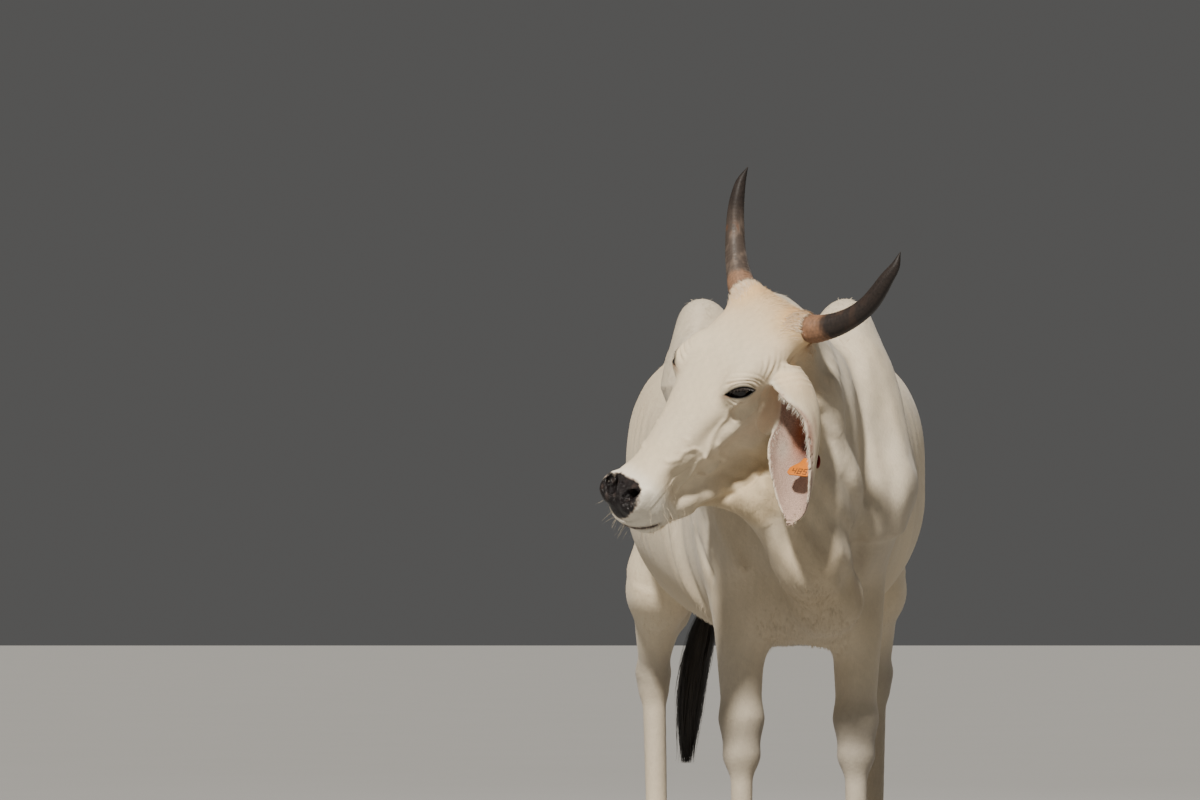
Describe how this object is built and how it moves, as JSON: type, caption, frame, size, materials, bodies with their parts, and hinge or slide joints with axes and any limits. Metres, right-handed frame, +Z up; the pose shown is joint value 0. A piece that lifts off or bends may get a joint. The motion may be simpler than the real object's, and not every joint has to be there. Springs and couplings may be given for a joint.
{
  "type": "brahman cattle",
  "caption": "Adult humped cow with upswept horns and long hanging ears, standing, its lowered head turned to its right, a tag in the left ear.",
  "frame": {"origin": "centre of the bounding box, on the floor under the soles", "axes": "+Z up, -Y the way the trunk faces, +X the cow's left"},
  "size_m": [0.6959, 2.0968, 1.5691],
  "materials": {
    "coat": "short dense cream to grey-white hair over hide, matt",
    "muzzle": "bare charcoal skin, moist",
    "eye": "wet, nearly black",
    "horn": "dark keratin, tan at the base, satin",
    "hoof": "dark keratin, dull",
    "ear": "short hair outside, bare pinkish skin inside",
    "tag": "moulded orange plastic",
    "tag_button": "moulded dark red plastic",
    "tail_hair": "long black hair"
  },
  "bodies": {
    "root": {"head": "coat", "muzzle": "muzzle", "eye_L": "eye", "eye_R": "eye", "neck": "coat", "dewlap": "coat", "chest": "coat", "hump": "coat", "barrel": "coat", "rump": "coat", "udder": "coat", "tail_upper": "coat", "tail_lower": "coat", "tail_switch": "tail_hair", "horn_L": "horn", "horn_R": "horn", "ear_tag_panel": "tag", "ear_tag_button": "tag_button", "ear_L": "ear", "ear_R": "ear", "leg_fore_L_upper": "coat", "leg_fore_L_lower": "coat", "hoof_fore_L_a": "hoof", "hoof_fore_L_b": "hoof", "leg_fore_R_upper": "coat", "leg_fore_R_lower": "coat", "hoof_fore_R_a": "hoof", "hoof_fore_R_b": "hoof", "leg_hind_L_upper": "coat", "leg_hind_L_lower": "coat", "hoof_hind_L_a": "hoof", "hoof_hind_L_b": "hoof", "leg_hind_R_upper": "coat", "leg_hind_R_lower": "coat", "hoof_hind_R_a": "hoof", "hoof_hind_R_b": "hoof"}
  },
  "joints": []
}
